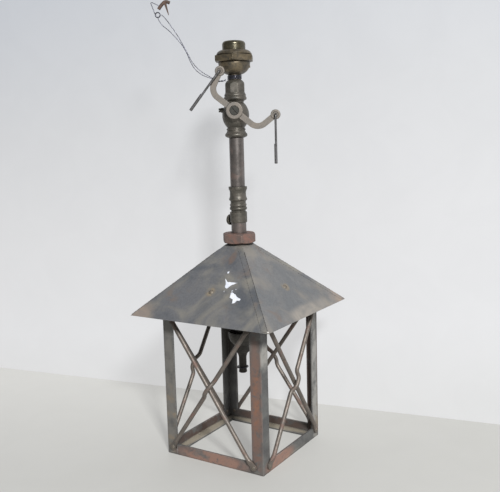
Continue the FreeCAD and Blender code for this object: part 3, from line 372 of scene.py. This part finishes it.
# %% The roof
SLOPE = 0.943
RIVET_OUT = 76.8
panel_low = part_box("roof_panel_front")[0]
eave, eave_z = -panel_low.y / MM, panel_low.z / MM
peak = eave_z + SLOPE * eave
rivet_up = peak - SLOPE * RIVET_OUT
halos = [((x * RIVET_OUT, y * RIVET_OUT, rivet_up), (9, 9, 9))
         for x, y in ((0, -1), (1, 0), (0, 1), (-1, 0))]
tips = [((x * eave, y * eave, eave_z), (42, 42, 30)) for x, y in ((-1, -1), (1, 1), (-1, 1))]
crown = [((9, -32, peak - 31), (6, 13, 12))]
eaves = [((eave, 10, eave_z + 6), (18, 80, 16)), ((-10, eave, eave_z + 6), (80, 18, 16))]


def weathered_sheet(name, ground, cloud, tan, specks):
    """Blue-grey sheet with soft tan clouds."""
    return aged_metal(
        name, ground, cloud, 60.0,
        stains=[(tan, 60.0, 0.42, 0.7, None, 0.4), ("766d67", 34.0, 0.56, 0.76, None, 0.4),
                ("9f8f81", 40.0, 0.2, 0.7, tips, 0.6), ("9a938a", 46.0, 0.26, 0.68, eaves, 0.6),
                ("6f6058", 9.0, 0.1, 0.7, crown, 0.6), ("877c6b", 7.0, 0.3, 0.6, halos, 0.6),
                (specks, 2.6, 0.68, 0.8, None, 0.3)],
        metallic=0.3, roughness=(0.44, 0.6), grain_mm=1.2, relief_mm=0.04, edge="8a8b8a",
        edge_mm=0.4)


# Sheet iron: smoky blue-grey with low, wide gloss, so the clouds show more than the light does.
dark_sheet = weathered_sheet("weathered_black_sheet", "62656a", "747578", "88847b", "4a4a4c")
dress(dark_sheet, "roof_panel_front", "roof_panel_left", "roof_panel_back")
# The same sheet made paler and warmer: painted light on the right panel.
right_panel_painted_light_sheet = weathered_sheet("black_sheet_painted_lit", "6f7173", "7b7b7b", "87827b", "5d5c5b")
dress(right_panel_painted_light_sheet, "roof_panel_right")

# %% [markdown]
# ## Nuts, pipe and brass
#
# The large nut is rusted iron. The pipes are steel that browned under years of polish. The cock and
# couplings are brass under a dark olive patina, and the union's is browner. The patina is thin where
# fingers turn things.

# %% The iron and the pipe
# Rusted iron: matt red-brown with a coarse grain and orange bloom.
rusted_iron = aged_metal(
    "rusted_cast_iron", "6d5c56", "7f6056", 14.0,
    stains=[("5a514d", 6.0, 0.5, 0.7, None, 0.5), ("8a6555", 5.0, 0.6, 0.75, None, 0.6)],
    metallic=0.25, roughness=(0.55, 0.75), grain_mm=0.7, relief_mm=0.15, edge="93796d", edge_mm=0.8)
dress(rusted_iron, "backnut", "apex_boss", "inner_locknut")
# Hook iron: darker rust, with hardly any shine.
rusted_hook = aged_metal("rusted_hook_iron", "4f4038", "5f4a40", 5.0, metallic=0.2,
                         roughness=(0.6, 0.8), grain_mm=0.5, relief_mm=0.12)
dress(rusted_hook, "hanging_hook")
# Browned pipe: smooth and plum-grey, with one clear highlight down its length.
browned_pipe = aged_metal(
    "browned_steel_pipe", "65605d", "76706d", 22.0,
    stains=[("6a5d58", 16.0, 0.52, 0.7, None, 0.4), ("4e4a47", 5.0, 0.62, 0.76, None, 0.3)],
    metallic=0.7, roughness=(0.3, 0.44), grain_mm=0.6, relief_mm=0.04)
dress(browned_pipe, "lower_tube", "stem_pipe")

# %% The brass, the lever and the rods
# Olive patina: dark green-brown brass, black in its grooves and greyer on its beads.
patina_brass = aged_metal(
    "olive_patina_brass", "55524b", "67625b", 10.0,
    stains=[("3d3c38", 6.0, 0.52, 0.72, None, 0.3), ("6b6454", 4.0, 0.6, 0.78, None, 0.1)],
    metallic=0.55, roughness=(0.36, 0.5), grain_mm=0.5, relief_mm=0.04, edge="858074", edge_mm=0.5,
    grime_and_shade="1f1d1a")
dress(patina_brass, "regulator_body", "regulator_knob", "lower_coupling", "cock_body", "bypass_screw",
      "inlet_adapter")
# Brown brass: warmer and shinier than the cock, so the union reads as one newer fitting.
warm_brass = aged_metal(
    "warm_brown_brass", "5b5448", "786c58", 12.0, stains=[("403d37", 8.0, 0.5, 0.7, None, 0.3)],
    metallic=0.65, roughness=(0.32, 0.46), grain_mm=0.5, relief_mm=0.04, edge="8f836a", edge_mm=0.5,
    grime_and_shade="1f1c18")
dress(warm_brass, "union_cup", "union_nut")
# Rubbed brass: a polished collar and plug that catch a small yellow light.
rubbed_brass = aged_metal(
    "hand_rubbed_brass", "565346", "6d6552", 9.0, stains=[("45433b", 6.0, 0.55, 0.72, None, 0.2)],
    metallic=0.8, roughness=(0.24, 0.38), grain_mm=0.5, relief_mm=0.03, edge="b1a27a", edge_mm=0.5,
    grime_and_shade="24201b")
dress(rubbed_brass, "union_collar", "cock_plug", "plug_washer", "plug_nut")
# White metal: the palest part of the stem, even and satiny from handling.
lever_metal = aged_metal(
    "handled_white_metal", "716c66", "79726a", 16.0, stains=[("645f59", 7.0, 0.55, 0.75, None, 0.3)],
    metallic=0.5, roughness=(0.44, 0.58), grain_mm=0.6, relief_mm=0.04, edge="98928a", edge_mm=0.6)
dress(lever_metal, "cock_lever")
# Rod steel: plain dark grey with a thin highlight.
dull_rod = aged_metal("dull_steel_rod", "565554", "6c6b6d", 8.0, metallic=0.6, roughness=(0.35, 0.5))
dress(dull_rod, "pull_rod_*")

# %% [markdown]
# ## Burner, wire and washers
#
# Heat blackens brass and bakes soot on it, and fireclay stays matt under its soot; both are made
# darker still as painted shade under the roof. Annealed binding wire keeps a thin blue-black oxide.

# %% The small things
# Sooted brass: soot and painted shade make it a dark shape, with no colour of its own.
sooted_and_shaded_brass = aged_metal("sooted_and_shaded_burner_brass", "413f3b", "524f49", 9.0, metallic=0.3,
                          roughness=(0.45, 0.65))
dress(sooted_and_shaded_brass, "injector", "mixing_tube", "air_shutter", "deflector_bowl", "clamp_screw")
# Fireclay: dead matt and slightly rough, dark with soot and painted shade.
fireclay = aged_metal("sooted_and_shaded_fireclay", "3d3a35", "4c4842", 7.0, metallic=0.0, roughness=(0.75, 0.9),
                      grain_mm=0.4, relief_mm=0.1)
dress(fireclay, "burner_nozzle")
# Annealed wire: blue-black and glossy, a thin dark line against the wall.
annealed_wire = aged_metal("annealed_binding_wire", "45454d", "5f6069", 5.0, metallic=0.8,
                           roughness=(0.26, 0.4), grain_mm=0.4, relief_mm=0.02, grime_and_shade=None)
dress(annealed_wire, "binding_wire", "mantle_ring")
# Oiled leather: a dark line under the large nut.
oiled_leather = aged_metal("oiled_leather_washer", "2f2520", "3d3029", 4.0, metallic=0.0,
                           roughness=(0.5, 0.7), grain_mm=0.5, relief_mm=0.12)
dress(oiled_leather, "seal_washer", "union_washer")

# %% [markdown]
# ## Lapped hips
#
# Each roof panel ends in a strip that laps over its neighbour's edge. The strip is 9.9 mm wide,
# measured level, and about half a millimetre thick, and its hand-cut edge wavers by a third of a
# millimetre. A row of four corners at each step down the hip, skinned into a bar, follows the
# panel's own slope and lets the edge waver. The strip stops just short of the eave.

# %% Laps
def finished(name, shape, material, body="lantern"):
    """A closed mesh from a bmesh, with its normals outward, riding on a body."""
    bmesh.ops.recalc_face_normals(shape, faces=shape.faces)
    mesh = bpy.data.meshes.new(name)
    shape.to_mesh(mesh)
    shape.free()
    mesh.materials.append(material)
    piece = bpy.data.objects.new(name, mesh)
    bpy.context.scene.collection.objects.link(piece)
    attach(piece, body)


def roof_point(side, across, down, lift=0.0):
    """A point on a roof panel: across it, down from the peak in plan, and lifted off the sheet (mm)."""
    outward = Vector((0, -SLOPE, 1)).normalized()
    point = Vector((across, -down, peak - SLOPE * down)) + outward * lift
    return (Matrix.Rotation(side * math.pi / 2, 3, "Z") @ point) * MM


def strip(shape, rows):
    """Closed bar from rows of four corners each."""
    rings = [[shape.verts.new(corner) for corner in row] for row in rows]
    for near, far in zip(rings, rings[1:]):
        for k in range(4):
            shape.faces.new((near[k], near[(k + 1) % 4], far[(k + 1) % 4], far[k]))
    shape.faces.new(rings[0])
    shape.faces.new(rings[-1])


LAP_WIDTH, LAP_THICK, LAP_STEPS = 9.9, 0.55, 48
LAP_FROM, LAP_TO = 22, eave - 1.4
chance = random.Random(11)
laps = bmesh.new()
for side in range(4):
    rows = []
    for step in range(LAP_STEPS + 1):
        down = LAP_FROM + (LAP_TO - LAP_FROM) * step / LAP_STEPS
        edge = down - LAP_WIDTH + chance.uniform(-0.3, 0.3)
        corners = ((down - 0.35, 0.02), (down - 0.6, LAP_THICK), (edge + 0.5, LAP_THICK), (edge, 0.02))
        rows.append([roof_point(side, across, down, lift) for across, lift in corners])
    strip(laps, rows)
finished("roof_laps", laps, dark_sheet)
print("four laps from", LAP_FROM, "to", round(LAP_TO, 1), "mm out")

# %% [markdown]
# ## Beads of solder and weld
#
# Solder and weld beads repeat along a seam, so one node group makes them all: it turns a drawn path
# into a curve, puts an uneven bead every so often along it, and joins the beads into one mesh. Solder
# runs down the hips and has gone dark. Short welds join the rails to the posts.

# %% Bead runs
def bead_group():
    """Geometry nodes: path -> curve -> evenly spaced points -> beads of uneven size."""
    tree = bpy.data.node_groups.new("bead run", "GeometryNodeTree")
    for label, kind in (("Path", "Geometry"), ("Spacing", "Float"), ("Radius", "Float"),
                        ("Seed", "Int"), ("Finish", "Material")):
        tree.interface.new_socket(label, in_out="INPUT", socket_type="NodeSocket" + kind)
    tree.interface.new_socket("Beads", in_out="OUTPUT", socket_type="NodeSocketGeometry")
    given = tree.nodes.new("NodeGroupInput").outputs
    curve = add(tree, "GeometryNodeMeshToCurve", {"Mesh": given["Path"]})
    even = add(tree, "GeometryNodeResampleCurve",
               {"Curve": curve.outputs[0], "Length": given["Spacing"]}, mode="LENGTH")
    ball = add(tree, "GeometryNodeMeshIcoSphere", {"Radius": given["Radius"], "Subdivisions": 2})
    uneven = add(tree, "FunctionNodeRandomValue", {2: 0.55, 3: 1.25, "Seed": given["Seed"]},
                 data_type="FLOAT")
    beads = add(tree, "GeometryNodeInstanceOnPoints",
                {"Points": even.outputs[0], "Instance": ball.outputs[0], "Scale": uneven.outputs[1]})
    whole = add(tree, "GeometryNodeRealizeInstances", {"Geometry": beads.outputs[0]})
    dressed = add(tree, "GeometryNodeSetMaterial",
                  {"Geometry": whole.outputs[0], "Material": given["Finish"]})
    add(tree, "NodeGroupOutput", {"Beads": dressed.outputs[0]})
    return tree


BEADS = bead_group()
print("bead group with", len(BEADS.nodes), "nodes")

# %% Solder on the roof and welds on the rails
def bead_run(name, paths, spacing_mm, radius_mm, material, seed):
    """Beads along straight paths, each a pair of points in metres."""
    mesh = bpy.data.meshes.new(name)
    mesh.from_pydata([tuple(p) for path in paths for p in path],
                     [(2 * k, 2 * k + 1) for k in range(len(paths))], [])
    piece = bpy.data.objects.new(name, mesh)
    bpy.context.scene.collection.objects.link(piece)
    modifier = piece.modifiers.new("beads", "NODES")
    modifier.node_group = BEADS
    values = {"Spacing": spacing_mm * MM, "Radius": radius_mm * MM, "Seed": seed, "Finish": material}
    for socket in BEADS.interface.items_tree:
        if socket.name in values:
            modifier[socket.identifier] = values[socket.name]
    ready = piece.evaluated_get(bpy.context.evaluated_depsgraph_get())
    plain = bpy.data.meshes.new_from_object(ready)
    piece.modifiers.clear()
    piece.data = plain
    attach(piece, "lantern")
    print(name, len(plain.polygons), "faces")


# Sooty solder: dark grey and softly shiny, so each bead keeps a small light of its own.
dark_solder = aged_metal("sooty_solder", "444341", "5b5a58", 3.0, metallic=0.5,
                         roughness=(0.4, 0.55), grime_and_shade=None)
SEAM_FROM, HIP_TO, EDGE_TO = 24, eave - 2.0, eave - 3.0
hips = [(roof_point(side, SEAM_FROM, SEAM_FROM, 0.1), roof_point(side, HIP_TO, HIP_TO, 0.1))
        for side in range(4)]
bead_run("hip_solder", hips, 1.05, 0.5, dark_solder, 3)
edges = [(roof_point(side, SEAM_FROM - LAP_WIDTH, SEAM_FROM, 0.2),
          roof_point(side, EDGE_TO - LAP_WIDTH, EDGE_TO, 0.2)) for side in range(4)]
bead_run("lap_solder", edges, 4.6, 0.42, dark_solder, 8)

WELD_FROM, WELD_TO = 1.4, 15.0
welds = []
for side in range(4):
    turn = Matrix.Rotation(side * math.pi / 2, 3, "Z")
    for x in (LEG - half, half - LEG):
        welds.append([turn @ Vector((x, -half, z)) * MM for z in (WELD_FROM, WELD_TO)])
bead_run("rail_welds", welds, 0.9, 0.75, scaled_steel, 5)

# %% [markdown]
# ## Spilt paint
#
# White paint dripped on the front panel long ago and dried in a ragged star and a wedge, with a few
# spots round them. They could be a pattern in the sheet's finish, but real flakes have edges that
# catch the light, so each is a thin closed piece cut to a ragged outline.

# %% Paint flakes
STAR = [(12.7, 58.9), (19.8, 63.0), (25.3, 62.6), (35.9, 62.9), (30.0, 65.3), (25.6, 68.1),
        (23.3, 71.1), (18.8, 69.7), (18.2, 65.5)]
WEDGE = [(33.1, 75.5), (35.9, 74.7), (46.4, 79.8), (52.6, 81.5), (52.2, 83.5), (48.0, 83.7),
         (46.0, 87.1), (42.3, 88.0), (40.6, 83.0), (34.7, 81.4)]
SPOTS = [((13.1, 51.1), 1.5), ((33.5, 73.0), 1.0), ((49.5, 54.7), 0.8), ((21.0, 74.5), 0.6),
         ((38.5, 71.0), 0.5)]


def flake(shape, outline, thick=0.3):
    """A flat closed flake on the front panel, from an outline of (across, down) points."""
    low, high = ([shape.verts.new(roof_point(0, x, down, lift)) for x, down in outline]
                 for lift in (0.01, thick))
    for k in range(len(outline)):
        nxt = (k + 1) % len(outline)
        shape.faces.new((low[k], low[nxt], high[nxt], high[k]))
    bmesh.ops.triangulate(shape, faces=[shape.faces.new(low), shape.faces.new(high)])


def ragged(outline, wobble):
    """The outline with each side broken up into short uneven steps."""
    points = []
    for (x0, y0), (x1, y1) in zip(outline, outline[1:] + outline[:1]):
        for k in range(4):
            points.append((x0 + (x1 - x0) * k / 4 + chance.uniform(-wobble, wobble),
                           y0 + (y1 - y0) * k / 4 + chance.uniform(-wobble, wobble)))
    return points


flakes = bmesh.new()
flake(flakes, ragged(STAR, 0.3))
flake(flakes, ragged(WEDGE, 0.35))
for (x, down), radius in SPOTS:
    flake(flakes, [(x + radius * math.cos(a * 0.7) * chance.uniform(0.75, 1.2),
                    down + radius * math.sin(a * 0.7) * chance.uniform(0.75, 1.2)) for a in range(9)])
# Chalky paint: matt and cold white, the brightest thing on the roof.
chalky_paint = aged_metal("chalky_white_paint", "dfe3ee", "eef0f6", 6.0, metallic=0.0,
                          roughness=(0.6, 0.75), relief_mm=0.05, grime_and_shade=None)
finished("paint_flakes", flakes, chalky_paint)
print("flakes", 2 + len(SPOTS))

# %% [markdown]
# ## A drop at the roof's tip
#
# Where the nearest hip ends, a drop of solder sits at the sheet's corner, pale as a painted glint. A
# small ball, flattened a little, is enough for it.

# %% The bright drop
# Solder drop: pale grey with a clear gloss; the pale grey is a painted glint.
solder_with_painted_glint = aged_metal("solder_with_painted_glint", "c9c6c2", "dedad4", 2.0, metallic=0.3,
                           roughness=(0.3, 0.4), grime_and_shade=None)
TIP, DROP_RADIUS = eave - 1.8, 1.6
blob = bmesh.new()
bmesh.ops.create_icosphere(blob, subdivisions=3, radius=DROP_RADIUS * MM,
                           matrix=Matrix.Translation(roof_point(0, TIP, TIP, 0.2))
                           @ Matrix.Diagonal((1.0, 0.8, 0.7, 1.0)))
for face in blob.faces:
    face.smooth = True
finished("tip_solder", blob, solder_with_painted_glint)
print("drop", 2 * DROP_RADIUS, "mm across")

# %% [markdown]
# ## The room
#
# A pale floor runs to a pale wall behind. Both are stage pieces and not part of the lantern. The
# wall isn't square to the camera, so the line where it meets the floor falls to the right. Each
# shines a little by itself, as painted light that stands in for daylight from elsewhere in the room
# and washes out most shadows on them: the floor's glow brightens towards the wall, and the wall's
# darkens towards its top. The paint is clear from behind, so that the lantern can be looked at from
# every side.

# %% Floor and wall
WALL_BEARING = math.radians(10.17)
WALL_DISTANCE = 0.197
along = Vector((math.cos(WALL_BEARING), math.sin(WALL_BEARING), 0))
toward_wall = Vector((-math.sin(WALL_BEARING), math.cos(WALL_BEARING), 0))


def glowing_paint(name, body_tint, direction, start, end, tints, glow, rough):
    """Matt paint with painted light: it glows in tints which change along a direction, from start to
    end in metres.
    """
    material, tree, where = empty_material(name)
    far = add(tree, "ShaderNodeVectorMath", {0: where, 1: tuple(direction)},
              operation="DOT_PRODUCT").outputs["Value"]
    far = add(tree, "ShaderNodeMapRange", {"Value": far, "From Min": start, "From Max": end})
    ramp = add(tree, "ShaderNodeValToRGB", {"Fac": far.outputs["Result"]})
    steps = ramp.color_ramp.elements
    while len(steps) < len(tints):
        steps.new(0.5)
    for step, (position, tint) in zip(steps, tints):
        step.position, step.color = position, linear(tint)
    cloudy = patches(tree, where, 70.0, 0.3, 0.7, detail=5.0)
    faint = add(tree, "ShaderNodeMath", {0: cloudy, 1: 0.015}, operation="MULTIPLY").outputs[0]
    colour = add(tree, "ShaderNodeMix", {0: faint, 6: linear(body_tint), 7: linear("ffffff")},
                 data_type="RGBA").outputs[2]
    shader = add(tree, "ShaderNodeBsdfPrincipled", {
        "Base Color": colour, "Roughness": rough, "Emission Color": ramp.outputs["Color"],
        "Emission Strength": glow})
    behind = add(tree, "ShaderNodeNewGeometry").outputs["Backfacing"]
    clear = add(tree, "ShaderNodeBsdfTransparent").outputs[0]
    one_sided = add(tree, "ShaderNodeMixShader", {0: behind, 1: shader.outputs[0], 2: clear})
    add(tree, "ShaderNodeOutputMaterial", {"Surface": one_sided.outputs[0]})
    return material


def stage_sheet(name, corners, material):
    mesh = bpy.data.meshes.new(name)
    mesh.from_pydata([tuple(c) for c in corners], [], [(0, 1, 2, 3)])
    mesh.materials.append(material)
    piece = bpy.data.objects.new(name, mesh)
    bpy.context.scene.collection.objects.link(piece)


foot = toward_wall * WALL_DISTANCE
REACH, WALL_HEIGHT = 3.0, 3.0
left_end, right_end = foot - along * REACH, foot + along * REACH
up, toward_viewer = Vector((0, 0, WALL_HEIGHT)), toward_wall * -2 * REACH
# Floor: warm grey with painted light that glows brighter towards the wall.
floor_painted_light = glowing_paint(
    "floor_paint_with_painted_light", "949490", toward_wall - along * 0.6, -0.65, 0.46,
    [(0.0, "c7c7c4"), (0.37, "cac9c6"), (0.52, "cecdca"), (1.0, "f0efec")], 0.45, 0.6)
# Wall: painted light that glows nearly white low down and a cooler grey higher up.
wall_painted_light = glowing_paint(
    "wall_paint_with_painted_light", "717274", Vector((-along.x * 0.1, -along.y * 0.1, 1)), 0.0, 0.78,
    [(0.0, "e6e6e5"), (0.17, "ececed"), (0.42, "e6e6e7"), (0.68, "d9dadc"), (1.0, "c6cad1")],
    0.69, 0.8)
stage_sheet("floor", [left_end, left_end + toward_viewer, right_end + toward_viewer, right_end],
            floor_painted_light)
stage_sheet("wall", [left_end, right_end, right_end + up, left_end + up], wall_painted_light)
print("floor and wall", 2 * REACH, "m wide")

# %% [markdown]
# ## Light
#
# One square lamp, as small and far as a high window, stands behind the viewer and a little to the
# right, and does most of the work. It throws the roof's shadow down the posts. Only a little light
# comes from everywhere else, so the chamber under the roof stays dark.

# %% Light
world = bpy.data.worlds.new("daylight")
world.use_nodes = True
world.node_tree.nodes["Background"].inputs["Color"].default_value = linear("eef0f3")
world.node_tree.nodes["Background"].inputs["Strength"].default_value = 0.16
bpy.context.scene.world = world


BEARING, HEIGHT = math.radians(45.0), math.radians(28.0)
AWAY, SIDE, WATTS = 2.6, 0.3, 82.0
middle = (cad_low + cad_high) / 2
way = Vector((math.sin(BEARING) * math.cos(HEIGHT), -math.cos(BEARING) * math.cos(HEIGHT),
              math.sin(HEIGHT)))
lamp = bpy.data.lights.new("window", "AREA")
lamp.size, lamp.energy = SIDE, WATTS
window = bpy.data.objects.new("window", lamp)
facing = way.to_track_quat("Z", "Y").to_matrix().to_4x4()
window.matrix_world = Matrix.Translation(middle + way * AWAY) @ facing
bpy.context.scene.collection.objects.link(window)
print("window at", [round(v, 2) for v in middle + way * AWAY])

# %% [markdown]
# ## Finish
#
# The standard view keeps colours as they are mixed, with no film look.

# %% View transform
bpy.context.scene.view_settings.view_transform = "Standard"
